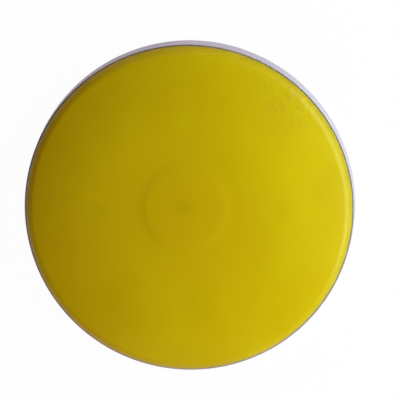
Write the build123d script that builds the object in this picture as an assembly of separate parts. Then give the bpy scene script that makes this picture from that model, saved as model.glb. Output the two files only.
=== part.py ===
from build123d import *
import math
import os

# Round raised pavement marker, 4 inch class: a yellow domed cap screwed down on a white base.
# Frame: +Z is up, out of the road. The origin is the centre of the bonding face, which is z = 0.
# All sizes are in millimetres.

# Overall
MARKER_HEIGHT = 20.0
CAP_RADIUS = 50.35  # the yellow edge, which stands just inside the base's lip
BASE_RADIUS = 50.8  # the white wall, at its foot
BASE_TOP_RADIUS = 50.74  # the same wall at its top, drawn in by the mould's draft

# Dome: three arcs that run smoothly into each other, from the crown to the edge
CROWN_RADIUS = 200.0
CROWN_REACH = 24.0  # how far out from the axis the crown's arc goes
FLANK_RADIUS = 98.0
SHOULDER_RADIUS = 4.0

# Cap
CAP_WALL = 2.6
CAP_FOOT_Z = 8.4  # underside of the yellow edge
CAP_EDGE_ROUND = 0.3
RIB_FOOT_Z = 5.2  # the ribs and the spigot end here, and the bosses go on to sit on the base's floor
SPIGOT_INNER = 44.4
SPIGOT_OUTER = 46.8
CENTRE_TUBE = (12.1, 14.7)  # inner and outer radius
RING_RIB = (26.8, 29.2)
RIB_COUNT = 8
RIB_WIDTH = 2.2
BOSS_COUNT = 4
BOSS_CIRCLE = 28.0  # radius that the bosses and screws stand on
BOSS_RADIUS = 4.0

# Base
BASE_TOP_Z = 8.0  # the shelf that carries the seal
BASE_LIP_Z = 8.8  # a thin lip goes on up to here, outside the cap's edge
BASE_LIP_INNER = 50.5  # leaves a fine shadow gap round the yellow edge
BASE_FLOOR = (1.3, 5.0)  # underside and upper side of the floor
BASE_WALL_INNER = 47.0
BASE_FOOT_ROUND = 0.8
BASE_LIP_ROUND = 0.12
LAND_INNER = 45.8  # the flat ring that meets the road is from here out to the wall
NOTCH_COUNT = 8  # adhesive bleeds out through these
NOTCH_WIDTH = 5.0
NOTCH_INNER = 44.5  # the notches start this far out, just inside the land
KEY_PITCH = 7.0  # spacing of the keying studs, a quarter of BOSS_CIRCLE
KEY_FACE_RADIUS = 2.1
KEY_ROOT_RADIUS = 2.4
GATE_RADIUS = 2.5
GATE_DEPTH = 0.5
GATE_NUB_RADIUS = 0.9

# Seal, in a groove in the base's shelf
GROOVE = (47.95, 49.85)
GROOVE_DEPTH = 1.2
SEAL_WIDTH = 1.8
SEAL_CLEARANCE = 0.02
SEAL_CORNER = 0.3

# Screw: 3.5 mm thread-forming, 9.5 mm long under the head
SCREW_HEAD_RADIUS = 3.5
SCREW_HEAD_HEIGHT = 2.0
SCREW_HEAD_CROWN = 1.1  # how much of that height is domed
SCREW_LENGTH = 9.5
SCREW_CORE = 1.3
SCREW_MAJOR = 1.75
SCREW_PITCH = 1.3
SCREW_RIDGE = 0.6  # width of one thread ridge at its root
SCREW_TIP = 2.0
SCREW_SEAT_Z = 3.5
COUNTERBORE_RADIUS = 4.0
SCREW_HOLE_RADIUS = 2.0
THREAD_CLEARANCE = 0.02
BORE_SPARE = 0.4  # empty bore past the screw's tip
RECESS_DEPTH = 1.2
RECESS_CORE = 1.1
RECESS_LOBE = 0.42
RECESS_LOBES = 6

# Resin blocks shrink this far away from the cap as they cure
CAST_GAP = 0.05


def dome_arcs(depth):
    """Centre, radius, first and last angle from the vertical of the dome's arcs, depth below the skin."""
    crown_end = math.asin(CROWN_REACH / CROWN_RADIUS)
    crown = (0.0, MARKER_HEIGHT - CROWN_RADIUS)
    lean = CROWN_RADIUS - FLANK_RADIUS
    flank = (lean * math.sin(crown_end), crown[1] + lean * math.cos(crown_end))
    shoulder_r = CAP_RADIUS - SHOULDER_RADIUS
    flank_end = math.asin((shoulder_r - flank[0]) / (FLANK_RADIUS - SHOULDER_RADIUS))
    lean = FLANK_RADIUS - SHOULDER_RADIUS
    shoulder = (shoulder_r, flank[1] + lean * math.cos(flank_end))
    return [
        (crown, CROWN_RADIUS - depth, 0.0, crown_end),
        (flank, FLANK_RADIUS - depth, crown_end, flank_end),
        (shoulder, SHOULDER_RADIUS - depth, flank_end, math.pi / 2),
    ]


def on_arc(arc, angle):
    """The point of an arc at an angle from the vertical, as (radius from the axis, z)."""
    (r, z), radius, _, _ = arc
    return (r + radius * math.sin(angle), z + radius * math.cos(angle))


def arc_edge(arc, start, end):
    """The stretch of an arc between two angles from the vertical."""
    middle = (start + end) / 2
    return ThreePointArc(on_arc(arc, start), on_arc(arc, middle), on_arc(arc, end))


def turned(*edges):
    """A solid of revolution about Z from a closed outline drawn as (radius from the axis, z)."""
    return revolve(Plane.XZ * make_face(list(edges)), Axis.Z)


def ring(inner, outer, low, high):
    """A plain ring between two heights, or a disc where inner is nought."""
    body = Pos(0, 0, low) * extrude(Circle(outer), high - low)
    if inner > 0:
        body -= Pos(0, 0, low) * extrude(Circle(inner), high - low)
    return body


def around(count, radius, turn=0.0):
    """Places evenly spaced on a circle, each turned to face outwards."""
    return [Rot(0, 0, turn + 360 * k / count) * Pos(radius, 0, 0) for k in range(count)]


def under_dome(depth, reach, low):
    """Everything from a height up to depth below the skin, out to a radius."""
    crown, flank, _ = dome_arcs(depth)
    edge_angle = math.asin((reach - flank[0][0]) / flank[1])
    top = on_arc(crown, 0.0)
    edge = on_arc(flank, edge_angle)
    return turned(
        arc_edge(crown, 0.0, crown[3]),
        arc_edge(flank, flank[2], edge_angle),
        Polyline(edge, (reach, low), (0, low), top),
    )


def cap_wall():
    """The dome's wall, its edge and the spigot that drops inside the base, with no ribs."""
    crown, flank, shoulder = dome_arcs(0.0)
    inner_crown, inner_flank, _ = dome_arcs(CAP_WALL)
    spigot_angle = math.asin((SPIGOT_INNER - inner_flank[0][0]) / inner_flank[1])
    round_start = (CAP_RADIUS, CAP_FOOT_Z + CAP_EDGE_ROUND)
    round_end = (CAP_RADIUS - CAP_EDGE_ROUND, CAP_FOOT_Z)
    return turned(
        arc_edge(crown, 0.0, crown[3]),
        arc_edge(flank, flank[2], flank[3]),
        arc_edge(shoulder, shoulder[2], shoulder[3]),
        Line(on_arc(shoulder, shoulder[3]), round_start),
        RadiusArc(round_start, round_end, CAP_EDGE_ROUND),
        Polyline(
            round_end,
            (SPIGOT_OUTER, CAP_FOOT_Z),
            (SPIGOT_OUTER, RIB_FOOT_Z),
            (SPIGOT_INNER, RIB_FOOT_Z),
            on_arc(inner_flank, spigot_angle),
        ),
        arc_edge(inner_flank, spigot_angle, inner_flank[2]),
        arc_edge(inner_crown, inner_crown[3], 0.0),
        Line(on_arc(inner_crown, 0.0), on_arc(crown, 0.0)),
    )


def bosses(low, grow=0.0):
    """The four screw bosses as plain uprights, grown sideways."""
    boss = ring(0, BOSS_RADIUS + grow, low, MARKER_HEIGHT)
    return [place * boss for place in around(BOSS_COUNT, BOSS_CIRCLE)]


def ribs(grow=0.0):
    """Centre tube, ring rib and radial ribs as plain uprights, grown sideways."""
    low, high = RIB_FOOT_Z, MARKER_HEIGHT
    body = ring(CENTRE_TUBE[0] - grow, CENTRE_TUBE[1] + grow, low, high)
    body += ring(RING_RIB[0] - grow, RING_RIB[1] + grow, low, high)
    start = (CENTRE_TUBE[0] + CENTRE_TUBE[1]) / 2
    length = (SPIGOT_INNER + SPIGOT_OUTER) / 2 - start
    middle_z = (low + high) / 2
    for place in around(RIB_COUNT, start + length / 2):
        body += place * Pos(0, 0, middle_z) * Box(length, RIB_WIDTH + 2 * grow, high - low)
    return body


def screw_outline(clearance=0.0):
    """The shank as (radius, z) points from the seat upwards, with closed ridges at the thread's pitch."""
    core, major = SCREW_CORE + clearance, SCREW_MAJOR + clearance
    points = [(core, SCREW_SEAT_Z)]
    ridge_z = SCREW_SEAT_Z + SCREW_PITCH / 2
    shank_end = SCREW_SEAT_Z + SCREW_LENGTH - SCREW_TIP
    while ridge_z + SCREW_RIDGE < shank_end:
        points += [(core, ridge_z), (major, ridge_z + SCREW_RIDGE / 2), (core, ridge_z + SCREW_RIDGE)]
        ridge_z += SCREW_PITCH
    return points + [(core, shank_end)]


def screw_bore():
    """What a driven screw leaves in a boss: its own thread, and a little spare depth."""
    core = SCREW_CORE + THREAD_CLEARANCE
    end = SCREW_SEAT_Z + SCREW_LENGTH + BORE_SPARE
    points = screw_outline(THREAD_CLEARANCE) + [(core, end), (0, end), (0, SCREW_SEAT_Z)]
    return turned(Polyline(*points, close=True))


def dome_shell():
    """The yellow cap, moulded in one with its ribs and bosses."""
    floor_z = BASE_FLOOR[1]
    uprights = ribs() + bosses(floor_z)
    body = cap_wall() + (uprights & under_dome(CAP_WALL / 2, (SPIGOT_INNER + SPIGOT_OUTER) / 2, floor_z))
    bore = screw_bore()
    return body - [place * bore for place in around(BOSS_COUNT, BOSS_CIRCLE)]


def resin_blocks():
    """The cast filling, which the ribs part into separate blocks, each with its node's name."""
    filling = under_dome(CAP_WALL + CAST_GAP, SPIGOT_INNER - CAST_GAP, RIB_FOOT_Z)
    filling -= ribs(CAST_GAP) + bosses(RIB_FOOT_Z, CAST_GAP)
    ring_middle = sum(RING_RIB) / 2
    named = {}
    for block in filling.solids():
        centre = block.center()
        away = math.hypot(centre.X, centre.Y)
        sector = int(math.degrees(math.atan2(centre.Y, centre.X)) % 360 // (360 / RIB_COUNT)) + 1
        if away < CENTRE_TUBE[0] / 2:
            named["centre_fill"] = block
        elif away < ring_middle:
            named[f"inner_fill_{sector}"] = block
        else:
            named[f"outer_fill_{sector}"] = block
    return named


def base_blank():
    """The base's wall, lip, floor and seal groove, before the land is notched and the floor is keyed."""
    foot_point = (BASE_RADIUS - BASE_FOOT_ROUND, 0.0)
    foot_wall = (BASE_RADIUS, BASE_FOOT_ROUND)
    lip_wall = (BASE_TOP_RADIUS, BASE_LIP_Z - BASE_LIP_ROUND)
    lip_point = (BASE_TOP_RADIUS - BASE_LIP_ROUND, BASE_LIP_Z)
    groove_z = BASE_TOP_Z - GROOVE_DEPTH
    return turned(
        RadiusArc(foot_point, foot_wall, -BASE_FOOT_ROUND),
        Line(foot_wall, lip_wall),
        RadiusArc(lip_wall, lip_point, -BASE_LIP_ROUND),
        Polyline(
            lip_point,
            (BASE_LIP_INNER, BASE_LIP_Z),
            (BASE_LIP_INNER, BASE_TOP_Z),
            (GROOVE[1], BASE_TOP_Z),
            (GROOVE[1], groove_z),
            (GROOVE[0], groove_z),
            (GROOVE[0], BASE_TOP_Z),
            (BASE_WALL_INNER, BASE_TOP_Z),
            (BASE_WALL_INNER, BASE_FLOOR[1]),
            (0, BASE_FLOOR[1]),
            (0, BASE_FLOOR[0]),
            (LAND_INNER, BASE_FLOOR[0]),
            (LAND_INNER, 0),
            foot_point,
        ),
    )


def key_places():
    """A square grid of studs under the floor, clear of the land, the screws and the gate."""
    reach = LAND_INNER - KEY_ROOT_RADIUS
    steps = int(reach // KEY_PITCH)
    boss_step = round(BOSS_CIRCLE / KEY_PITCH)
    taken = {(0, 0), (boss_step, 0), (-boss_step, 0), (0, boss_step), (0, -boss_step)}
    span = range(-steps, steps + 1)
    spots = [(i, j) for i in span for j in span if (i, j) not in taken]
    return [
        Pos(i * KEY_PITCH, j * KEY_PITCH, BASE_FLOOR[0] / 2)
        for i, j in spots
        if math.hypot(i, j) * KEY_PITCH < reach
    ]


def base_plate():
    """The white base: closes the cap, takes the screws, and keys into the adhesive."""
    body = base_blank()
    notch = Box(2 * (BASE_RADIUS - NOTCH_INNER), NOTCH_WIDTH, 2 * BASE_FLOOR[0])
    body -= [place * notch for place in around(NOTCH_COUNT, BASE_RADIUS, turn=180 / NOTCH_COUNT)]
    stud = Cone(KEY_FACE_RADIUS, KEY_ROOT_RADIUS, BASE_FLOOR[0])
    body += [place * stud for place in key_places()]
    for place in around(BOSS_COUNT, BOSS_CIRCLE):
        body -= place * ring(0, COUNTERBORE_RADIUS, 0, SCREW_SEAT_Z)
        body -= place * ring(0, SCREW_HOLE_RADIUS, 0, BASE_FLOOR[1])
    gate_top = BASE_FLOOR[0] + GATE_DEPTH
    return body - ring(GATE_NUB_RADIUS, GATE_RADIUS, BASE_FLOOR[0], gate_top)


def perimeter_seal():
    """The rubber ring in the groove, squeezed by the cap's edge to an oblong section."""
    low = BASE_TOP_Z - GROOVE_DEPTH + SEAL_CLEARANCE
    high = CAP_FOOT_Z - SEAL_CLEARANCE
    section = RectangleRounded(SEAL_WIDTH, high - low, SEAL_CORNER)
    place = Pos((GROOVE[0] + GROOVE[1]) / 2, (low + high) / 2)
    return revolve(Plane.XZ * (place * section), Axis.Z)


def base_screw():
    """One screw, on the Z axis, head down: domed head, six-lobe recess, threaded shank and tip."""
    head_low = SCREW_SEAT_Z - SCREW_HEAD_HEIGHT
    rim_z = head_low + SCREW_HEAD_CROWN
    crown_radius = (SCREW_HEAD_RADIUS**2 + SCREW_HEAD_CROWN**2) / (2 * SCREW_HEAD_CROWN)
    crown = RadiusArc((0, head_low), (SCREW_HEAD_RADIUS, rim_z), -crown_radius)
    tip = (0, SCREW_SEAT_Z + SCREW_LENGTH)
    side = [(SCREW_HEAD_RADIUS, rim_z), (SCREW_HEAD_RADIUS, SCREW_SEAT_Z)]
    body = turned(crown, Polyline(*side, *screw_outline(), tip, (0, head_low)))
    lobes = [Rot(0, 0, 360 * k / RECESS_LOBES) * Pos(RECESS_CORE, 0) for k in range(RECESS_LOBES)]
    recess = Circle(RECESS_CORE) + [lobe * Circle(RECESS_LOBE) for lobe in lobes]
    return body - Pos(0, 0, head_low) * extrude(recess, RECESS_DEPTH)


def nodes():
    """Every sub-part by its node's name."""
    made = {
        "dome_shell": dome_shell(),
        "base_plate": base_plate(),
        "perimeter_seal": perimeter_seal(),
        **resin_blocks(),
    }
    screw = base_screw()
    for number, place in enumerate(around(BOSS_COUNT, BOSS_CIRCLE), start=1):
        made[f"base_screw_{number}"] = place * screw
    return made


os.makedirs("parts", exist_ok=True)
for name, shape in nodes().items():
    export_step(shape, os.path.join("parts", f"{name}.step"))
    print(name, round(shape.volume), "mm3")
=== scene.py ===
import math

import bmesh
import bpy
import numpy as np
from mathutils import Matrix, Vector


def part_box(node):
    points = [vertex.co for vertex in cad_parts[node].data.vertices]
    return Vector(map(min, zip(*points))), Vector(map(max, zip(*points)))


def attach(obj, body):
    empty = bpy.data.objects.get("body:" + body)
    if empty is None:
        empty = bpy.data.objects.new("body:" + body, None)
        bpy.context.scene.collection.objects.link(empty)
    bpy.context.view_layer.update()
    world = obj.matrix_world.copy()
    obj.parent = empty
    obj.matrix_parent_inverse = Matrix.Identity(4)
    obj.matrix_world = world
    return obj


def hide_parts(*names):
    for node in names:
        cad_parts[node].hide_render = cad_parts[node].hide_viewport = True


# Round raised pavement marker: a yellow moulded cap screwed down on a white moulded base.
# Dictionaries give millimetres and degrees, and the scene is in metres.

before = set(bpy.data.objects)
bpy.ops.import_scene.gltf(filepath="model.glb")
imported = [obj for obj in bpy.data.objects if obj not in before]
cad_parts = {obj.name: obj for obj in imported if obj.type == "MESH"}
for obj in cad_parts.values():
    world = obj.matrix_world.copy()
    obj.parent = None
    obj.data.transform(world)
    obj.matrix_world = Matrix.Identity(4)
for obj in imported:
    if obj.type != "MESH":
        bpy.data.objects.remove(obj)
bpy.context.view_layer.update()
mm = 0.001
mergeReach = 0.0002  # mm; doubled points closer than this are made one
sharpBend = 32  # degrees; a sharper edge than this is drawn as an edge
print("frame loaded:", len(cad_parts), "parts")


def fromHex(code):
    # sRGB hex to linear red, green, blue and alpha
    parts = [int(code[k:k + 2], 16) / 255 for k in (1, 3, 5)]
    return [c / 12.92 if c <= 0.04045 else ((c + 0.055) / 1.055) ** 2.4 for c in parts] + [1.0]


def addNode(tree, kind, settings=None, links=None):
    # a shader node, with its settings by socket or property name and its links by input name or number
    made = tree.nodes.new("ShaderNode" + kind)
    for key, value in (settings or {}).items():
        if isinstance(key, int) or key in made.inputs.keys():
            made.inputs[key].default_value = value
        else:
            setattr(made, key, value)
    for key, source in (links or {}).items():
        tree.links.new(source, made.inputs[key])
    return made


def newMaterial(name):
    # an empty material, its tree, and the object coordinates that every pattern reads
    made = bpy.data.materials.new(name)
    made.use_nodes = True
    made.node_tree.nodes.clear()
    tree = made.node_tree
    return made, tree, addNode(tree, "TexCoord").outputs["Object"]


def smoothStep(x, low, high):
    # nought below low, one above high, and a smooth rise between
    t = np.clip((x - low) / (high - low), 0, 1)
    return t * t * (3 - 2 * t)


def arcPoints(centre, radius, start, end, count):
    # points of an arc in the (radius, height) plane, by angle from the vertical: centre + radius (sin, cos)
    angle = np.linspace(start, end, count)
    return np.stack([centre[0] + radius * np.sin(angle), centre[1] + radius * np.cos(angle)], axis=1)


def softCorners(corners, facets=5):
    # each (radius, height, rounding) corner becomes an arc of that rounding, tangent to both of its runs:
    # the arc's middle lies on the corner's bisector, at rounding / sin(half the corner's angle)
    sharp = np.array([c[:2] for c in corners], float)
    pieces = [sharp[:1]]
    for before, here, after, corner in zip(sharp[:-2], sharp[1:-1], sharp[2:], corners[1:-1]):
        if corner[2] == 0:
            pieces.append(here[None])
            continue
        back = (before - here) / np.linalg.norm(before - here)
        on = (after - here) / np.linalg.norm(after - here)
        half = math.acos(float(np.clip(back @ on, -1, 1))) / 2
        middle = here + (back + on) / np.linalg.norm(back + on) * corner[2] / math.sin(half)
        start = here + back * corner[2] / math.tan(half) - middle
        end = here + on * corner[2] / math.tan(half) - middle
        share = np.linspace(0, 1, facets)[:, None]
        spread = math.acos(float(np.clip(start @ end / corner[2] ** 2, -1, 1)))
        sweep = (start * np.sin((1 - share) * spread) + end * np.sin(share * spread)) / math.sin(spread)
        pieces.append(middle + sweep)
    return np.concatenate(pieces + [sharp[-1:]])


def closePoints(points, spacing):
    # the same run of points with more of them put in, so that none are further apart than the spacing
    pieces = []
    for start, end in zip(points[:-1], points[1:]):
        count = max(1, int(math.ceil(np.linalg.norm(end - start) / spacing)))
        pieces.append(start + (end - start) * np.linspace(0, 1, count, endpoint=False)[:, None])
    return np.concatenate(pieces + [points[-1:]])


def turnedGrid(profile, count):
    # surface of revolution: each (radius, height) point of the profile is carried round the axis
    angles = np.linspace(0, 2 * math.pi, count, endpoint=False)
    radius, height = profile[:, :1], profile[:, 1:]
    return np.stack([radius * np.cos(angles), radius * np.sin(angles), height + 0 * angles], axis=2)


def barGrid(section, along):
    # a bar: one closed (across, height) section for each distance along x, and its middle point at each end
    x = np.broadcast_to(along[:, None], section.shape[:2])
    body = np.stack([x, section[..., 0], section[..., 1]], axis=2)
    first = np.repeat(body[:1].mean(axis=1, keepdims=True), body.shape[1], axis=1)
    last = np.repeat(body[-1:].mean(axis=1, keepdims=True), body.shape[1], axis=1)
    return np.concatenate([first, body, last])


def turned(grid, angle):
    # a grid turned about the axis by an angle in radians: (x cos - y sin, x sin + y cos)
    x, y, z = np.moveaxis(grid, 2, 0)
    across, up = math.cos(angle), math.sin(angle)
    return np.stack([x * across - y * up, x * up + y * across, z], axis=2)


def around(grid, count, first=0.0):
    # copies of a grid, evenly spaced round the axis
    return [turned(grid, first + 2 * math.pi * k / count) for k in range(count)]


def addSurface(name, grids, material):
    # one object from grids of points in millimetres, whose columns close on themselves, and whose poles and
    # doubled points are merged
    points, faces, offset = [], [], 0
    for grid in grids:
        rows, columns = grid.shape[:2]
        a, b = np.arange(rows - 1)[:, None], np.arange(columns)[None, :]
        after = (b + 1) % columns
        corners = [a * columns + b, (a + 1) * columns + b, (a + 1) * columns + after, a * columns + after]
        points.append(grid.reshape(-1, 3))
        faces.append(np.stack(corners, 2).reshape(-1, 4) + offset)
        offset += rows * columns
    mesh = bpy.data.meshes.new(name)
    mesh.from_pydata(np.concatenate(points) * mm, [], np.concatenate(faces).tolist())
    shell = bmesh.new()
    shell.from_mesh(mesh)
    bmesh.ops.remove_doubles(shell, verts=shell.verts, dist=mergeReach * mm)
    shell.to_mesh(mesh)
    shell.free()
    mesh.materials.append(material)
    piece = bpy.data.objects.new(name, mesh)
    bpy.context.scene.collection.objects.link(piece)
    shade(piece)
    return piece


def shade(piece):
    # smooth all over, except along edges where the faces meet more sharply than the limit
    piece.data.shade_smooth()
    piece.data.set_sharp_from_angle(angle=math.radians(sharpBend))
    print("made", piece.name, len(piece.data.polygons), "faces")


def carve(piece, grids):
    # closed shells are cut out of a piece, and only the mesh that is left is kept
    cutter = addSurface("cutter", grids, piece.data.materials[0])
    cut = piece.modifiers.new("cut", "BOOLEAN")
    cut.operation = "DIFFERENCE"
    cut.solver = "EXACT"
    cut.object = cutter
    bpy.context.view_layer.update()
    result = bpy.data.meshes.new_from_object(piece.evaluated_get(bpy.context.evaluated_depsgraph_get()))
    piece.modifiers.clear()
    piece.data = result
    bpy.data.objects.remove(cutter)
    shade(piece)


def settle(piece, node):
    # the piece moves with the marker's one body and stands for a node of the frame
    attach(piece, "root")
    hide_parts(node)


yellowAbs = {
    "colour": "#ccb208",
    "flowColour": "#c6aa06",
    "flowSize": 26,  # mm, the soft streaks where the melt ran out from the gate
    "flowDetail": 3.0,
    "flowBand": (0.35, 0.65),  # the part of the noise over which one colour turns into the other
    "crownShadeColour": "#c5a507",  # painted shade: the colour darkens towards the top of the crown
    "crownShadeReach": 38.0,
    "ior": 1.53,
    "gloss": 0.14,
    "roughness": 0.31,
    "roughnessSpread": 0.03,
    "wanderSize": 9,
    "wanderDetail": 4.0,
    "wanderBand": (0.3, 0.7),
    "peelSize": 5.0,  # mm between the low waves of the skin
    "peelDetail": 1.0,
    "peelHeight": 0.010,
    "grainSize": 0.55,  # the spark-eroded grain is about 0.1 mm, drawn coarser so that it shows
    "grainDetail": 2.0,
    "grainHeight": 0.003,
    "scuffPlace": (32.0, 35.5, 13.0),  # rubbed patch on the shoulder
    "scuffReach": 15.0,
    "scuffCore": 0.3,  # share of that reach where the rubbing is at its full
    "scuffSize": 1.8,
    "scuffDetail": 3.0,
    "scuffBand": (0.50, 0.62),
    "scuffShare": 0.55,
    "scuffColour": "#bb9c1e",
    "scuffDepth": 0.05,
    "edgeShadeAndDirtColour": "#7a690c",  # painted shade and dirt low on the edge, where it meets the base
    "edgeHeights": (9.0, 12.4),  # mm, where it is thickest and where it ends
    "edgeShares": (0.468, 0.78),  # in its thin and its thick patches
    "edgeSize": 4.0,
    "edgeDetail": 4.0,
    "edgeBand": (0.3, 0.6),
    "edgeDulling": 0.3,  # how much rougher the darkened band low on the edge is than the clean skin
    "speckColour": "#b98a52",
    "speckRadius": 0.45,
    "specks": ((34.3, 27.5, 16.6), (39.5, 27.5, 15.3)),  # two grains of foreign matter in the skin
    "blushColour": "#bba105",  # the dull spots that the gate and the screw bosses leave
    "gateBlush": 3.4,
    "bossBlush": 4.6,
    "bossBlushColour": "#c6ac07",
    "spotCore": 0.4,  # share of a spot's radius that has its full colour
}


def mouldedYellowAbs():
    # ABS moulded in a finely spark-eroded tool: deep even yellow with a soft gloss, never a mirror.
    # The colour wanders slightly along the flow, the gloss wanders more, and the skin is faintly wavy. Shade
    # is painted into the colour: darker over the crown, and darker low on the edge together with patches of
    # dirt.
    s = yellowAbs
    made, tree, place = newMaterial("mouldedYellowAbs")
    flow = addNode(tree, "TexNoise", {"Scale": 1 / (s["flowSize"] * mm), "Detail": s["flowDetail"]},
                   {"Vector": place})
    flowMask = addNode(tree, "MapRange", {"From Min": s["flowBand"][0], "From Max": s["flowBand"][1]},
                       {"Value": flow.outputs[0]})
    colour = addNode(tree, "Mix", {"data_type": "RGBA", 6: fromHex(s["colour"]), 7: fromHex(s["flowColour"])},
                     {0: flowMask.outputs[0]})
    # painted shade over the crown: darker at the top of the dome, fading out at the reach
    away = addNode(tree, "VectorMath", {"operation": "DISTANCE", 1: [0.0, 0.0, cap["height"] * mm]},
                   {0: place})
    crownShade = addNode(tree, "MapRange", {"interpolation_type": "SMOOTHSTEP", "From Min": s["crownShadeReach"] * mm,
                                     "From Max": 0.0}, {"Value": away.outputs["Value"]})
    colour = addNode(tree, "Mix", {"data_type": "RGBA", 7: fromHex(s["crownShadeColour"])},
                     {0: crownShade.outputs[0], 6: colour.outputs[2]})

    # the rubbed patch: flecks that thin out with distance from its middle
    away = addNode(tree, "VectorMath", {"operation": "DISTANCE", 1: [c * mm for c in s["scuffPlace"]]},
                   {0: place})
    near = addNode(tree, "MapRange", {"From Min": s["scuffReach"] * mm,
                                      "From Max": s["scuffCore"] * s["scuffReach"] * mm},
                   {"Value": away.outputs["Value"]})
    fleck = addNode(tree, "TexNoise", {"Scale": 1 / (s["scuffSize"] * mm), "Detail": s["scuffDetail"]},
                    {"Vector": place})
    fleckMask = addNode(tree, "MapRange", {"From Min": s["scuffBand"][0], "From Max": s["scuffBand"][1],
                                           "To Max": s["scuffShare"]}, {"Value": fleck.outputs[0]})
    scuff = addNode(tree, "Math", {"operation": "MULTIPLY"}, {0: near.outputs[0], 1: fleckMask.outputs[0]})
    colour = addNode(tree, "Mix", {"data_type": "RGBA", 7: fromHex(s["scuffColour"])},
                     {0: scuff.outputs[0], 6: colour.outputs[2]})

    # painted shade and dirt low on the edge, thickest just over the base
    height = addNode(tree, "SeparateXYZ", {}, {0: place})
    low = addNode(tree, "MapRange", {"From Min": s["edgeHeights"][1] * mm,
                                     "From Max": s["edgeHeights"][0] * mm}, {"Value": height.outputs[2]})
    patch = addNode(tree, "TexNoise", {"Scale": 1 / (s["edgeSize"] * mm), "Detail": s["edgeDetail"]},
                    {"Vector": place})
    patchMask = addNode(tree, "MapRange", {"From Min": s["edgeBand"][0], "From Max": s["edgeBand"][1],
                                           "To Min": s["edgeShares"][0], "To Max": s["edgeShares"][1]},
                        {"Value": patch.outputs[0]})
    edgeShadeAndDirt = addNode(tree, "Math", {"operation": "MULTIPLY"}, {0: low.outputs[0], 1: patchMask.outputs[0]})
    colour = addNode(tree, "Mix", {"data_type": "RGBA", 7: fromHex(s["edgeShadeAndDirtColour"])},
                     {0: edgeShadeAndDirt.outputs[0], 6: colour.outputs[2]})

    # round spots in the skin: specks, and the blush over the gate and over each boss
    spots = [(speck, s["speckRadius"], s["speckColour"]) for speck in s["specks"]]
    spots.append(((*skinRelief["gatePlace"], cap["height"]), s["gateBlush"], s["blushColour"]))
    circle = ribCage["bossCircle"]
    top = float(domeHeight(np.array(circle), 0.0))
    spots += [((circle * math.cos(turn), circle * math.sin(turn), top), s["bossBlush"], s["bossBlushColour"])
              for turn in bossTurns]
    for middle, reach, tone in spots:
        away = addNode(tree, "VectorMath", {"operation": "DISTANCE", 1: [c * mm for c in middle]}, {0: place})
        spot = addNode(tree, "MapRange", {"From Min": reach * mm, "From Max": s["spotCore"] * reach * mm},
                       {"Value": away.outputs["Value"]})
        colour = addNode(tree, "Mix", {"data_type": "RGBA", 7: fromHex(tone)},
                         {0: spot.outputs[0], 6: colour.outputs[2]})

    wander = addNode(tree, "TexNoise", {"Scale": 1 / (s["wanderSize"] * mm), "Detail": s["wanderDetail"]},
                     {"Vector": place})
    rough = addNode(tree, "MapRange", {"From Min": s["wanderBand"][0], "From Max": s["wanderBand"][1],
                                       "To Min": s["roughness"] - s["roughnessSpread"],
                                       "To Max": s["roughness"] + s["roughnessSpread"]},
                    {"Value": wander.outputs[0]})
    dull = addNode(tree, "Math", {"operation": "MULTIPLY_ADD", 1: s["edgeDulling"]},
                   {0: edgeShadeAndDirt.outputs[0], 2: rough.outputs[0]})
    peel = addNode(tree, "TexNoise", {"Scale": 1 / (s["peelSize"] * mm), "Detail": s["peelDetail"]},
                   {"Vector": place})
    grain = addNode(tree, "TexNoise", {"Scale": 1 / (s["grainSize"] * mm), "Detail": s["grainDetail"]},
                    {"Vector": place})
    bump = addNode(tree, "Bump", {"Distance": s["peelHeight"] * mm}, {"Height": peel.outputs[0]})
    bump = addNode(tree, "Bump", {"Distance": s["grainHeight"] * mm},
                   {"Height": grain.outputs[0], "Normal": bump.outputs[0]})
    bump = addNode(tree, "Bump", {"Distance": s["scuffDepth"] * mm},
                   {"Height": scuff.outputs[0], "Normal": bump.outputs[0]})
    shader = addNode(tree, "BsdfPrincipled", {"IOR": s["ior"], "Specular IOR Level": s["gloss"]},
                     {"Base Color": colour.outputs[2], "Roughness": dull.outputs[0],
                      "Normal": bump.outputs[0]})
    addNode(tree, "OutputMaterial", {}, {"Surface": shader.outputs[0]})
    return made


whiteAbs = {
    "colour": "#bcb0c7",
    "cloudColour": "#b2a6bd",
    "cloudSize": 14,
    "cloudDetail": 4.0,
    "ior": 1.53,
    "gloss": 0.4,
    "roughness": (0.37, 0.50),
    "roughnessBand": (0.3, 0.7),
    "grainSize": 0.6,  # drawn coarser than the tool's real 0.15 mm grain, so that it shows
    "grainDetail": 2.0,
    "grainHeight": 0.006,
    "soilColour": "#a8a2a6",
    "soilHeight": 1.6,  # mm up from the foot that handling has greyed
    "soilSize": 3.5,
    "soilDetail": 5.0,
    "soilBand": (0.4, 0.7),
    "soilShare": 0.6,
}


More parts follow.
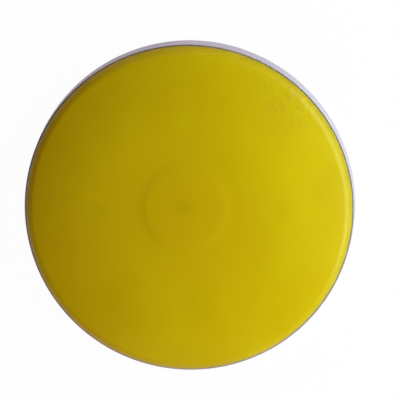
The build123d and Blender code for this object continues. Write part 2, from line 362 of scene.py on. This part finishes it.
def mouldedWhiteAbs():
    # ABS moulded in its own cool milky white, with a duller skin than the cap's and a foot greyed by handling
    s = whiteAbs
    made, tree, place = newMaterial("mouldedWhiteAbs")
    cloud = addNode(tree, "TexNoise", {"Scale": 1 / (s["cloudSize"] * mm), "Detail": s["cloudDetail"]},
                    {"Vector": place})
    colour = addNode(tree, "Mix", {"data_type": "RGBA", 6: fromHex(s["colour"]),
                                   7: fromHex(s["cloudColour"])}, {0: cloud.outputs[0]})
    height = addNode(tree, "SeparateXYZ", {}, {0: place})
    low = addNode(tree, "MapRange", {"From Min": s["soilHeight"] * mm, "From Max": 0.0},
                  {"Value": height.outputs[2]})
    patch = addNode(tree, "TexNoise", {"Scale": 1 / (s["soilSize"] * mm), "Detail": s["soilDetail"]},
                    {"Vector": place})
    patchMask = addNode(tree, "MapRange", {"From Min": s["soilBand"][0], "From Max": s["soilBand"][1],
                                           "To Max": s["soilShare"]}, {"Value": patch.outputs[0]})
    soil = addNode(tree, "Math", {"operation": "MULTIPLY"}, {0: low.outputs[0], 1: patchMask.outputs[0]})
    colour = addNode(tree, "Mix", {"data_type": "RGBA", 7: fromHex(s["soilColour"])},
                     {0: soil.outputs[0], 6: colour.outputs[2]})
    rough = addNode(tree, "MapRange", {"From Min": s["roughnessBand"][0], "From Max": s["roughnessBand"][1],
                                       "To Min": s["roughness"][0], "To Max": s["roughness"][1]},
                    {"Value": cloud.outputs[0]})
    grain = addNode(tree, "TexNoise", {"Scale": 1 / (s["grainSize"] * mm), "Detail": s["grainDetail"]},
                    {"Vector": place})
    bump = addNode(tree, "Bump", {"Distance": s["grainHeight"] * mm}, {"Height": grain.outputs[0]})
    shader = addNode(tree, "BsdfPrincipled", {"IOR": s["ior"], "Specular IOR Level": s["gloss"]},
                     {"Base Color": colour.outputs[2], "Roughness": rough.outputs[0],
                      "Normal": bump.outputs[0]})
    addNode(tree, "OutputMaterial", {}, {"Surface": shader.outputs[0]})
    return made


epdm = {
    "colour": "#1c1b1c",
    "bloomColour": "#3a3838",
    "bloomSize": 2.2,
    "bloomDetail": 5.0,
    "bloomBand": (0.5, 0.75),
    "grainSize": 0.35,
    "grainDetail": 3.0,
    "grainHeight": 0.02,
    "ior": 1.52,
    "roughness": 0.62,
}


def mouldedEpdmRubber():
    # compression-moulded EPDM: soot black and matt, with a faint grey bloom in patches
    s = epdm
    made, tree, place = newMaterial("mouldedEpdmRubber")
    bloom = addNode(tree, "TexNoise", {"Scale": 1 / (s["bloomSize"] * mm), "Detail": s["bloomDetail"]},
                    {"Vector": place})
    bloomMask = addNode(tree, "MapRange", {"From Min": s["bloomBand"][0], "From Max": s["bloomBand"][1]},
                        {"Value": bloom.outputs[0]})
    colour = addNode(tree, "Mix", {"data_type": "RGBA", 6: fromHex(s["colour"]),
                                   7: fromHex(s["bloomColour"])}, {0: bloomMask.outputs[0]})
    grain = addNode(tree, "TexNoise", {"Scale": 1 / (s["grainSize"] * mm), "Detail": s["grainDetail"]},
                    {"Vector": place})
    bump = addNode(tree, "Bump", {"Distance": s["grainHeight"] * mm}, {"Height": grain.outputs[0]})
    shader = addNode(tree, "BsdfPrincipled", {"IOR": s["ior"], "Roughness": s["roughness"]},
                     {"Base Color": colour.outputs[2], "Normal": bump.outputs[0]})
    addNode(tree, "OutputMaterial", {}, {"Surface": shader.outputs[0]})
    return made


screwSteel = {
    "colour": "#c3c2bf",
    "drawnColour": "#a9a8a6",
    "lineSize": 0.25,  # mm between the drawing lines left along the wire
    "lineStretch": (1.0, 1.0, 0.15),  # draws the pattern out along the screw's axis
    "lineDetail": 4.0,
    "lineHeight": 0.004,
    "roughness": (0.20, 0.38),
    "roughnessBand": (0.35, 0.65),
}


def coldHeadedStainless():
    # stainless wire, cold-headed and roll-threaded: bright and a little streaky, with fine marks in its gloss
    s = screwSteel
    made, tree, place = newMaterial("coldHeadedStainless")
    stretch = addNode(tree, "Mapping", {"Scale": s["lineStretch"]}, {"Vector": place})
    lines = addNode(tree, "TexNoise", {"Scale": 1 / (s["lineSize"] * mm), "Detail": s["lineDetail"]},
                    {"Vector": stretch.outputs[0]})
    colour = addNode(tree, "Mix", {"data_type": "RGBA", 6: fromHex(s["colour"]),
                                   7: fromHex(s["drawnColour"])}, {0: lines.outputs[0]})
    rough = addNode(tree, "MapRange", {"From Min": s["roughnessBand"][0], "From Max": s["roughnessBand"][1],
                                       "To Min": s["roughness"][0], "To Max": s["roughness"][1]},
                    {"Value": lines.outputs[0]})
    bump = addNode(tree, "Bump", {"Distance": s["lineHeight"] * mm}, {"Height": lines.outputs[0]})
    shader = addNode(tree, "BsdfPrincipled", {"Metallic": 1.0},
                     {"Base Color": colour.outputs[2], "Roughness": rough.outputs[0],
                      "Normal": bump.outputs[0]})
    addNode(tree, "OutputMaterial", {}, {"Surface": shader.outputs[0]})
    return made


castResin = {
    "binderColour": "#8d7c5c",
    "grainColour": "#cbb892",
    "darkGrainColour": "#6d6150",
    "grainSize": 0.9,  # mm, washed coarse sand
    "grainBand": (0.35, 0.5),  # distance from a grain's middle, in grains, over which binder takes over
    "grainHeight": 0.08,
    "ior": 1.55,
    "roughness": 0.68,
}


def castSandPolyester():
    # polyester resin filled with washed sand and cast in place: tan binder, pale and dark grains, gritty
    s = castResin
    made, tree, place = newMaterial("castSandPolyester")
    grains = addNode(tree, "TexVoronoi", {"Scale": 1 / (s["grainSize"] * mm)}, {"Vector": place})
    tone = addNode(tree, "SeparateColor", {}, {0: grains.outputs["Color"]})
    stone = addNode(tree, "Mix", {"data_type": "RGBA", 6: fromHex(s["darkGrainColour"]),
                                  7: fromHex(s["grainColour"])}, {0: tone.outputs[0]})
    body = addNode(tree, "MapRange", {"From Min": s["grainBand"][0], "From Max": s["grainBand"][1]},
                   {"Value": grains.outputs["Distance"]})
    colour = addNode(tree, "Mix", {"data_type": "RGBA", 7: fromHex(s["binderColour"])},
                     {0: body.outputs[0], 6: stone.outputs[2]})
    bump = addNode(tree, "Bump", {"Distance": s["grainHeight"] * mm, "invert": True},
                   {"Height": grains.outputs["Distance"]})
    shader = addNode(tree, "BsdfPrincipled", {"IOR": s["ior"], "Roughness": s["roughness"]},
                     {"Base Color": colour.outputs[2], "Normal": bump.outputs[0]})
    addNode(tree, "OutputMaterial", {}, {"Surface": shader.outputs[0]})
    return made


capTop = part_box("dome_shell")[1]
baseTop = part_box("base_plate")[1]
cap = {
    "height": capTop.z / mm,
    "edgeRadius": capTop.x / mm,
    "crownRadius": 200.0,
    "crownReach": 24.0,
    "flankRadius": 98.0,
    "shoulderRadius": 4.0,
    "wall": 2.6,
    "footZ": baseTop.z / mm - 0.4,  # the edge stands 0.4 mm down inside the base's lip
    "edgeRound": 0.3,
    "spigot": (44.4, 46.8),
    "spigotRound": 0.3,
    "ribFootZ": 5.2,
    "steps": 400,  # round the axis
    "spacing": 0.4,  # along the dome
    "shoulderSpacing": 0.2,
    "spigotSpacing": 2.0,
    "insideRows": 34,
}


def domeArcs(depth):
    # centre, radius and end angles of the crown, flank and shoulder arcs, at a depth below the skin
    s = cap
    crownEnd = math.asin(s["crownReach"] / s["crownRadius"])
    crown = (0.0, s["height"] - s["crownRadius"])
    lean = s["crownRadius"] - s["flankRadius"]
    flank = (lean * math.sin(crownEnd), crown[1] + lean * math.cos(crownEnd))
    shoulderX = s["edgeRadius"] - s["shoulderRadius"]
    lean = s["flankRadius"] - s["shoulderRadius"]
    flankEnd = math.asin((shoulderX - flank[0]) / lean)
    shoulder = (shoulderX, flank[1] + lean * math.cos(flankEnd))
    return [
        (crown, s["crownRadius"] - depth, 0.0, crownEnd),
        (flank, s["flankRadius"] - depth, crownEnd, flankEnd),
        (shoulder, s["shoulderRadius"] - depth, flankEnd, math.pi / 2),
    ]


def domeHeight(radius, depth):
    # height of the crown and flank at a distance from the axis: the arc's centre, plus the root of its radius
    # squared less the distance from that centre squared
    crown, flank, _ = domeArcs(depth)
    onCrown = crown[0][1] + np.sqrt(np.maximum(crown[1] ** 2 - radius ** 2, 0))
    onFlank = flank[0][1] + np.sqrt(np.maximum(flank[1] ** 2 - (radius - flank[0][0]) ** 2, 0))
    return np.where(radius < crown[1] * math.sin(crown[3]), onCrown, onFlank)


def capProfile():
    # the cap's section from the top of the crown, out over the skin, round edge and spigot, and back inside
    s = cap
    spacings = (s["spacing"], s["spacing"], s["shoulderSpacing"])
    pieces = []
    for (centre, radius, start, end), spacing in zip(domeArcs(0.0), spacings):
        count = int(radius * (end - start) / spacing) + 2
        pieces.append(arcPoints(centre, radius, start, end, count))
    edge, foot, bevel = s["edgeRadius"], s["footZ"], s["edgeRound"]
    inner, outer = s["spigot"]
    top = float(domeHeight(np.array(inner), s["wall"]))
    corners = [
        (edge, foot + 2 * bevel, 0), (edge, foot, bevel), (outer, foot, 0),
        (outer, s["ribFootZ"], s["spigotRound"]), (inner, s["ribFootZ"], s["spigotRound"]), (inner, top, 0),
    ]
    pieces.append(closePoints(softCorners(corners), s["spigotSpacing"]))
    inside = np.linspace(inner, 0, s["insideRows"])[1:]
    pieces.append(np.stack([inside, domeHeight(inside, s["wall"])], axis=1))
    return np.concatenate(pieces)


skinRelief = {
    "tubeReach": (11.4, 14.8),  # mm from the axis; the skin steps down here, over the centre tube's wall
    "tubeStep": 0.14,
    "tubePlace": (-0.6, 1.8),  # the print lies off the axis, where the skin was still soft
    "bossSink": 0.10,  # depth of the sink over each screw boss
    "bossSinkSize": 3.4,
    "ribSink": 0.010,
    "ribSinkSize": 1.6,
    "ribFades": ((14, 18), (42, 46)),  # mm from the axis, where the ribs' sinks start and end
    "gatePlace": (-1.1, 1.9),
    "gateSize": 0.55,
    "gateDepth": 0.07,
    "waves": ((2, 0.020, 0.4), (3, 0.012, 2.1), (5, 0.006, 4.0)),  # lobes, mm, turn: not quite round
    "edgeFade": (1.6, 0.3),  # mm in from the widest point, over which all of it dies away
    # angle, distance from the axis, width and depth of the knocks in the shoulder
    "knocks": ((24, 48.4, 1.0, 0.05), (31, 47.2, 1.5, 0.06), (36, 48.9, 0.8, 0.05), (41, 46.6, 1.8, 0.05),
               (47, 48.6, 1.1, 0.06), (54, 47.6, 1.3, 0.04), (-27, 48.7, 1.0, 0.03)),
}


def capRelief(x, y):
    # how far the moulded skin stands off the ideal dome: a raised disc inside the centre tube, shallow
    # Gaussian sinks over the bosses and ribs, the gate's pit, knocks, and slow lobes that grow outwards
    s = skinRelief
    radius, angle = np.hypot(x, y), np.arctan2(y, x)
    fromTube = np.hypot(x - s["tubePlace"][0], y - s["tubePlace"][1])
    lift = s["tubeStep"] * (1 - smoothStep(fromTube, *s["tubeReach"]))
    circle, sector = ribCage["bossCircle"], 2 * math.pi / ribCage["ribs"]
    for turn in bossTurns:
        away = np.hypot(x - circle * math.cos(turn), y - circle * math.sin(turn))
        lift = lift - s["bossSink"] * np.exp(-(away / s["bossSinkSize"]) ** 2)
    starts, ends = s["ribFades"]
    onRibs = smoothStep(radius, *starts) * (1 - smoothStep(radius, *ends))
    across = radius * np.sin((angle + sector / 2) % sector - sector / 2)
    lift = lift - s["ribSink"] * onRibs * np.exp(-(across / s["ribSinkSize"]) ** 2)
    away = np.hypot(x - s["gatePlace"][0], y - s["gatePlace"][1])
    lift = lift - s["gateDepth"] * np.exp(-(away / s["gateSize"]) ** 2)
    for lobes, height, turn in s["waves"]:
        lift = lift + height * (radius / cap["edgeRadius"]) ** 2 * np.cos(lobes * angle + turn)
    for turn, out, width, depth in s["knocks"]:
        turn = math.radians(turn)
        away = np.hypot(x - out * math.cos(turn), y - out * math.sin(turn))
        lift = lift - depth * np.exp(-(away / width) ** 2)
    return lift


def buildCapSkin():
    # the cap's wall, edge and spigot: one closed shell turned from its section, with the skin's relief on top
    grid = turnedGrid(capProfile(), cap["steps"])
    skinRows = int(np.argmax(grid[:, 0, 0])) + 1  # rows from the crown to the widest point
    x, y = grid[..., 0], grid[..., 1]
    start, end = [cap["edgeRadius"] - inwards for inwards in skinRelief["edgeFade"]]
    lift = capRelief(x, y) * (1 - smoothStep(np.hypot(x, y), start, end))
    lift[skinRows:] = 0
    grid[..., 2] += lift
    settle(addSurface("cap_skin", [grid], yellowPlastic), "dome_shell")


ribCage = {
    "centreTube": (12.1, 14.7),
    "ringRib": (26.8, 29.2),
    "ribs": 8,
    "ribWidth": 2.2,
    "bosses": 4,
    "bossCircle": 28.0,
    "bossRadius": 4.0,
    "bossFootZ": 5.0,
    "root": 0.3,  # how far the ribs are carried up into the cap's wall
    "core": 1.33,  # thread that the screw has formed in the boss
    "crest": 1.78,
    "threadStart": 5.45,
    "pitch": 1.3,
    "ridge": 0.6,
    "boreTop": 13.4,
    "plainBore": 1.0,  # mm at the bore's end that the thread doesn't reach
    "ringRows": 4,
    "ringSpacing": 3.0,
    "ringSteps": 120,
    "ribRows": 24,
    "bossSteps": 40,
}
bossTurns = [2 * math.pi * k / ribCage["bosses"] for k in range(ribCage["bosses"])]


def underside(radius):
    # where the ribs end: the height of the wall's inner face, and a little more, so that they are rooted in it
    return domeHeight(radius, cap["wall"]) + ribCage["root"]


def ringGrid(inner, outer):
    # an upright ring round the axis, oblong in section, whose top follows the dome
    s = ribCage
    across = np.linspace(inner, outer, s["ringRows"])
    top = np.stack([across, underside(across)], axis=1)
    foot = np.array([(outer, cap["ribFootZ"]), (inner, cap["ribFootZ"])])
    profile = closePoints(np.concatenate([top, foot, top[:1]]), s["ringSpacing"])
    return turnedGrid(profile, s["ringSteps"])


def ribGrid():
    # a radial rib: an oblong section whose top follows the dome, carried out from the tube to the spigot
    s = ribCage
    along = np.linspace(sum(s["centreTube"]) / 2, sum(cap["spigot"]) / 2, s["ribRows"])
    half = s["ribWidth"] / 2
    top = np.minimum(underside(along), domeHeight(along, 0.0) - cap["wall"] / 2)
    foot = np.full(len(along), cap["ribFootZ"])
    across = np.broadcast_to(np.array([-half, half, half, -half]), (len(along), 4))
    return barGrid(np.stack([across, np.stack([top, top, foot, foot], axis=1)], axis=2), along)


def bossGrid():
    # a screw boss with the thread that its screw has formed, at its place, with its top just into the wall
    s = ribCage
    starts = np.arange(s["threadStart"], s["boreTop"] - s["ridge"] - s["plainBore"], s["pitch"])
    ridges = np.stack([
        np.stack([np.full(len(starts), s["core"]), starts], axis=1),
        np.stack([np.full(len(starts), s["crest"]), starts + s["ridge"] / 2], axis=1),
        np.stack([np.full(len(starts), s["core"]), starts + s["ridge"]], axis=1),
    ], axis=1).reshape(-1, 2)
    lid = np.array([(0.0, 0.0), (s["bossRadius"] / 2, 0.0), (s["bossRadius"], 0.0)])
    rest = np.concatenate([
        [(s["bossRadius"], s["bossFootZ"]), (s["core"], s["bossFootZ"])],
        ridges,
        [(s["core"], s["boreTop"]), (0.0, s["boreTop"])],
    ])
    grid = turnedGrid(np.concatenate([lid, rest]), s["bossSteps"])
    grid[..., 0] += s["bossCircle"]
    lidPlaces = grid[:len(lid)]
    lidPlaces[..., 2] = underside(np.hypot(lidPlaces[..., 0], lidPlaces[..., 1]))
    return grid


def buildRibCage():
    # what is moulded inside the cap: tube, ring, radial ribs and bosses
    s = ribCage
    grids = [ringGrid(*s["centreTube"]), ringGrid(*s["ringRib"])]
    grids += around(ribGrid(), s["ribs"]) + around(bossGrid(), s["bosses"])
    settle(addSurface("rib_cage", grids, yellowPlastic), "dome_shell")


base = {
    "radius": baseTop.x / mm,
    "topRadius": baseTop.x / mm - 0.06,  # drawn in by the mould's draft
    "lipZ": baseTop.z / mm,
    "lipInner": 50.44,  # 0.06 mm closer to the cap than the CAD's, for a finer parting line
    "lipRound": 0.12,
    "shelfZ": baseTop.z / mm - 0.8,  # the step inside the lip, under the cap's edge
    "groove": (47.95, 49.85),
    "grooveDepth": 1.2,
    "wallInner": 47.0,
    "floor": (1.3, 5.0),
    "footRound": 0.8,
    "landInner": 45.8,
    "gate": (0.9, 2.5, 0.5),  # nub radius, ring radius and depth
    "notches": 8,
    "notchWidth": 5.0,
    "notchFrom": 45.0,
    "notchHeight": 1.25,
    "notchRound": 0.3,
    "counterbore": (4.0, 3.5),  # radius and seat height
    "hole": 2.0,
    "leadIn": 0.3,
    "clear": 0.05,  # how far the lead-in's cutter starts outside the floor's face
    "overrun": 1.0,  # how far the other cutters run out past the faces
    "rounds": {"floor": 0.2, "shelf": 0.15, "groove": 0.1, "lipFoot": 0.05, "land": 0.25, "gate": 0.1},
    "spacing": 2.5,
    "steps": 288,
    "wellSteps": 48,
}


def baseProfile():
    # the base's section from the middle of its floor out over shelf, groove and lip, down the wall, round the
    # foot, and back under the land and the floor
    s = base
    low, floorTop = s["floor"]
    grooveIn, grooveOut = s["groove"]
    shelf, lip = s["shelfZ"], s["lipZ"]
    bottom = shelf - s["grooveDepth"]
    nub, ring, sunk = s["gate"]
    r = s["rounds"]
    corners = [
        (0, floorTop, 0), (s["wallInner"], floorTop, r["floor"]), (s["wallInner"], shelf, r["shelf"]),
        (grooveIn, shelf, r["groove"]), (grooveIn, bottom, r["groove"]),
        (grooveOut, bottom, r["groove"]), (grooveOut, shelf, r["groove"]),
        (s["lipInner"], shelf, r["lipFoot"]), (s["lipInner"], lip, r["lipFoot"]),
        (s["topRadius"], lip, s["lipRound"]), (s["radius"], s["footRound"], 0),
        (s["radius"], 0, s["footRound"]), (s["landInner"], 0, r["land"]), (s["landInner"], low, r["land"]),
        (ring, low, r["gate"]), (ring, low + sunk, r["gate"]),
        (nub, low + sunk, r["gate"]), (nub, low, r["gate"]), (0, low, 0),
    ]
    return closePoints(softCorners(corners), s["spacing"])


def notchGrid():
    # what a bleed notch removes from the land: an oblong section with its upper corners rounded
    s = base
    half, top, deep, soft = s["notchWidth"] / 2, s["notchHeight"], -s["overrun"], s["notchRound"]
    corners = [(-half, 0, 0), (-half, top, soft), (half, top, soft), (half, deep, 0), (-half, deep, 0)]
    loop = softCorners(corners)
    along = np.array([s["notchFrom"], s["radius"] + s["overrun"]])
    return barGrid(np.broadcast_to(loop, (len(along),) + loop.shape), along)


def screwWellGrid(circle):
    # what a screw's counterbore and hole remove: a stepped plug with a small lead-in at the floor's face
    s = base
    well, seat = s["counterbore"]
    low, floorTop = s["floor"]
    mouth, above, below = well + s["leadIn"], floorTop + s["overrun"], -s["overrun"]
    profile = np.array([
        (0, above), (s["hole"], above), (s["hole"], seat), (well, seat),
        (well, low - s["clear"] + s["leadIn"]), (mouth, low - s["clear"]), (mouth, below), (0, below),
    ])
    grid = turnedGrid(profile, s["wellSteps"])
    grid[..., 0] += circle
    return grid


def buildBaseShell():
    # wall, lip, floor and land as one turned shell, then the notches and the screws' wells cut out of it
    s = base
    piece = addSurface("base_shell", [turnedGrid(baseProfile(), s["steps"])], whitePlastic)
    cuts = around(notchGrid(), s["notches"], math.pi / s["notches"])
    cuts += around(screwWellGrid(ribCage["bossCircle"]), ribCage["bosses"])
    carve(piece, cuts)
    settle(piece, "base_plate")


studs = {
    "pitch": 7.0,
    "faceRadius": 2.1,
    "faceRound": (0.16, 0.18),  # how far it goes in and how far up
    "rootRadius": 2.4,
    "rootFlare": (0.25, 0.2),  # how far it goes out and how far down
    "overlap": 0.2,  # up into the floor
    "steps": 16,
}


def buildKeyStuds():
    # tapered studs on a square grid under the floor, clear of the land, the gate and the screws: one turned
    # stud, set down at every place that is kept
    s = studs
    low = base["floor"][0]
    face, root = s["faceRadius"], s["rootRadius"]
    (roundIn, roundUp), (flareOut, flareDown) = s["faceRound"], s["rootFlare"]
    profile = np.array([
        (0, low + s["overlap"]), (root + flareOut, low + s["overlap"]), (root + flareOut, low),
        (root, low - flareDown), (face, roundUp), (face - roundIn, 0.0), (0, 0.0),
    ])
    stud = turnedGrid(profile, s["steps"])
    count = int(base["landInner"] // s["pitch"])
    x, y = np.meshgrid(*[np.arange(-count, count + 1) * s["pitch"]] * 2)
    x, y = x.ravel(), y.ravel()
    away = np.hypot(x, y)
    onScrew = np.isclose(away, ribCage["bossCircle"]) & (np.isclose(x, 0) | np.isclose(y, 0))
    kept = (away < base["landInner"] - root) & (away > 0) & ~onScrew
    grids = [stud + np.array([a, b, 0.0]) for a, b in zip(x[kept], y[kept])]
    settle(addSurface("key_studs", grids, whitePlastic), "base_plate")


yellowPlastic = mouldedYellowAbs()
whitePlastic = mouldedWhiteAbs()
print("plastics made")
buildCapSkin()
buildRibCage()
buildBaseShell()
buildKeyStuds()

# parts of the frame that are shown as they are get their real finish
finishes = {
    "perimeter_seal": mouldedEpdmRubber(),
    "base_screw": coldHeadedStainless(),
    "_fill": castSandPolyester(),
}
for name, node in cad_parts.items():
    for key, finish in finishes.items():
        if key in name:
            node.data.materials.clear()
            node.data.materials.append(finish)
print("cap, base, seal, screws and filling done")

studio = {
    "floorSize": 2400,
    "bounceColour": "#888888",  # what the floor throws back up at the object
    "floorColour": "#f4f4f4",
    "floorGlow": 0.97,  # how much of the floor's look is plain white; the rest keeps a faint shadow
    "airColour": "#ffffff",
    "airStrength": 0.02,
    "airFade": (3, 8),  # degrees over the horizon, where reflections stop seeing the white surround
}
softboxes = {
    # direction round from +X and height in degrees; distance, width and height in mm; radiance; colour;
    # whether it shows in gloss
    "right": (6, 22, 1000, 1500, 620, 6.8, "#e6fff4", True),
    "front": (-90, 27, 1000, 1100, 450, 4.6, "#ffeae9", False),
    "back": (90, 27, 1000, 1100, 450, 2.7, "#ffe2e5", False),
    "under": (0, -90, 300, 80, 80, 24.0, "#ffffff", True),  # through the open floor, narrower than the marker
}


def seenBy(tree, *kinds):
    # one for a ray of any of these kinds, nought for the others
    paths = addNode(tree, "LightPath")
    seen = paths.outputs["Is %s Ray" % kinds[0]]
    for kind in kinds[1:]:
        seen = addNode(tree, "Math", {"operation": "MAXIMUM"},
                       {0: seen, 1: paths.outputs["Is %s Ray" % kind]}).outputs[0]
    return seen


def buildFloor():
    # pale and plain: white to whatever looks at it or reflects it, with the object's shadow left faintly in,
    # and open from beneath
    made, tree, _ = newMaterial("paleFloor")
    plain = addNode(tree, "BsdfDiffuse", {"Color": fromHex(studio["floorColour"])})
    white = addNode(tree, "Emission", {"Strength": 1.0})
    pale = addNode(tree, "MixShader", {0: studio["floorGlow"]}, {1: plain.outputs[0], 2: white.outputs[0]})
    bounce = addNode(tree, "BsdfDiffuse", {"Color": fromHex(studio["bounceColour"])})
    look = addNode(tree, "MixShader", {}, {0: seenBy(tree, "Camera", "Glossy", "Transmission"),
                                           1: bounce.outputs[0], 2: pale.outputs[0]})
    beneath = addNode(tree, "Math", {"operation": "MAXIMUM"},
                      {0: addNode(tree, "NewGeometry").outputs["Backfacing"], 1: seenBy(tree, "Shadow")})
    clear = addNode(tree, "BsdfTransparent")
    whole = addNode(tree, "MixShader", {}, {0: beneath.outputs[0], 1: look.outputs[0], 2: clear.outputs[0]})
    addNode(tree, "OutputMaterial", {}, {"Surface": whole.outputs[0]})
    half = studio["floorSize"] / 2 * mm
    mesh = bpy.data.meshes.new("floor")
    corners = [(-half, -half, 0), (half, -half, 0), (half, half, 0), (-half, half, 0)]
    mesh.from_pydata(corners, [], [(0, 1, 2, 3)])
    mesh.materials.append(made)
    floor = bpy.data.objects.new("floor", mesh)
    bpy.context.scene.collection.objects.link(floor)


def buildSoftbox(name, towards, height, distance, width, tall, radiance, colour, inGloss):
    # an oblong of even light that faces the origin; its power is pi times its area times its radiance
    towards, height = math.radians(towards), math.radians(height)
    level = math.cos(height)
    place = Vector((level * math.cos(towards), level * math.sin(towards), math.sin(height)))
    data = bpy.data.lights.new(name, "AREA")
    data.shape = "RECTANGLE"
    data.size, data.size_y = width * mm, tall * mm
    data.energy = math.pi * data.size * data.size_y * radiance
    data.color = fromHex(colour)[:3]
    lamp = bpy.data.objects.new(name, data)
    lamp.location = place * distance * mm
    lamp.rotation_euler = place.to_track_quat("Z", "Y").to_euler()
    lamp.visible_camera = False
    lamp.visible_glossy = inGloss
    bpy.context.scene.collection.objects.link(lamp)


def buildAir():
    # a dim even light from all round; to the eye it is white, and so it is to reflections, but only low down,
    # since the studio is dark overhead
    world = bpy.data.worlds.new("studioAir")
    world.use_nodes = True
    tree = world.node_tree
    tree.nodes.clear()
    rise = addNode(tree, "SeparateXYZ", {}, {0: addNode(tree, "TexCoord").outputs["Generated"]})
    start, end = [math.sin(math.radians(angle)) for angle in studio["airFade"]]
    low = addNode(tree, "MapRange", {"From Min": end, "From Max": start}, {"Value": rise.outputs[2]})
    mirrored = addNode(tree, "Math", {"operation": "MULTIPLY"},
                       {0: seenBy(tree, "Glossy", "Transmission"), 1: low.outputs[0]})
    seen = addNode(tree, "Math", {"operation": "MAXIMUM"},
                   {0: mirrored.outputs[0], 1: seenBy(tree, "Camera")})
    colour = fromHex(studio["airColour"])
    dim = addNode(tree, "Background", {"Color": colour, "Strength": studio["airStrength"]})
    white = addNode(tree, "Background", {"Color": colour, "Strength": 1.0})
    both = addNode(tree, "MixShader", {}, {0: seen.outputs[0], 1: dim.outputs[0], 2: white.outputs[0]})
    addNode(tree, "OutputWorld", {}, {"Surface": both.outputs[0]})
    bpy.context.scene.world = world


buildFloor()
buildAir()
for name, values in softboxes.items():
    buildSoftbox(name, *values)
print("studio lit")

framing = {
    "distance": 3000,
    "lean": 9.9,  # degrees from straight above
    "towards": 72,  # degrees round from +X that the camera leans to
    "fieldWidth": 123.0,  # how much it takes in at that distance
    "sensor": 36.0,
    "aimHeight": 9.0,
    "slideRight": 3.32,
    "slideUp": 2.33,
}


def buildCamera():
    # high over the marker and leaning a little towards its far side, with +Y up in the picture; the lens is
    # to the sensor as the distance is to the width taken in
    s = framing
    lean, towards = math.radians(s["lean"]), math.radians(s["towards"])
    back = Vector((math.sin(lean) * math.cos(towards), math.sin(lean) * math.sin(towards), math.cos(lean)))
    up = (Vector((0, 1, 0)) - back * back.y).normalized()
    right = up.cross(back)
    data = bpy.data.cameras.new("camera")
    data.sensor_width = s["sensor"]
    data.lens = s["sensor"] * s["distance"] / s["fieldWidth"]
    camera = bpy.data.objects.new("camera", data)
    place = (back * s["distance"] + right * s["slideRight"] + up * s["slideUp"]) * mm
    place.z += s["aimHeight"] * mm
    turn = Matrix((right, up, back)).transposed().to_4x4()
    camera.matrix_world = Matrix.Translation(place) @ turn
    bpy.context.scene.collection.objects.link(camera)
    bpy.context.scene.camera = camera


buildCamera()
bpy.context.scene.view_settings.view_transform = "Standard"
print("camera placed")
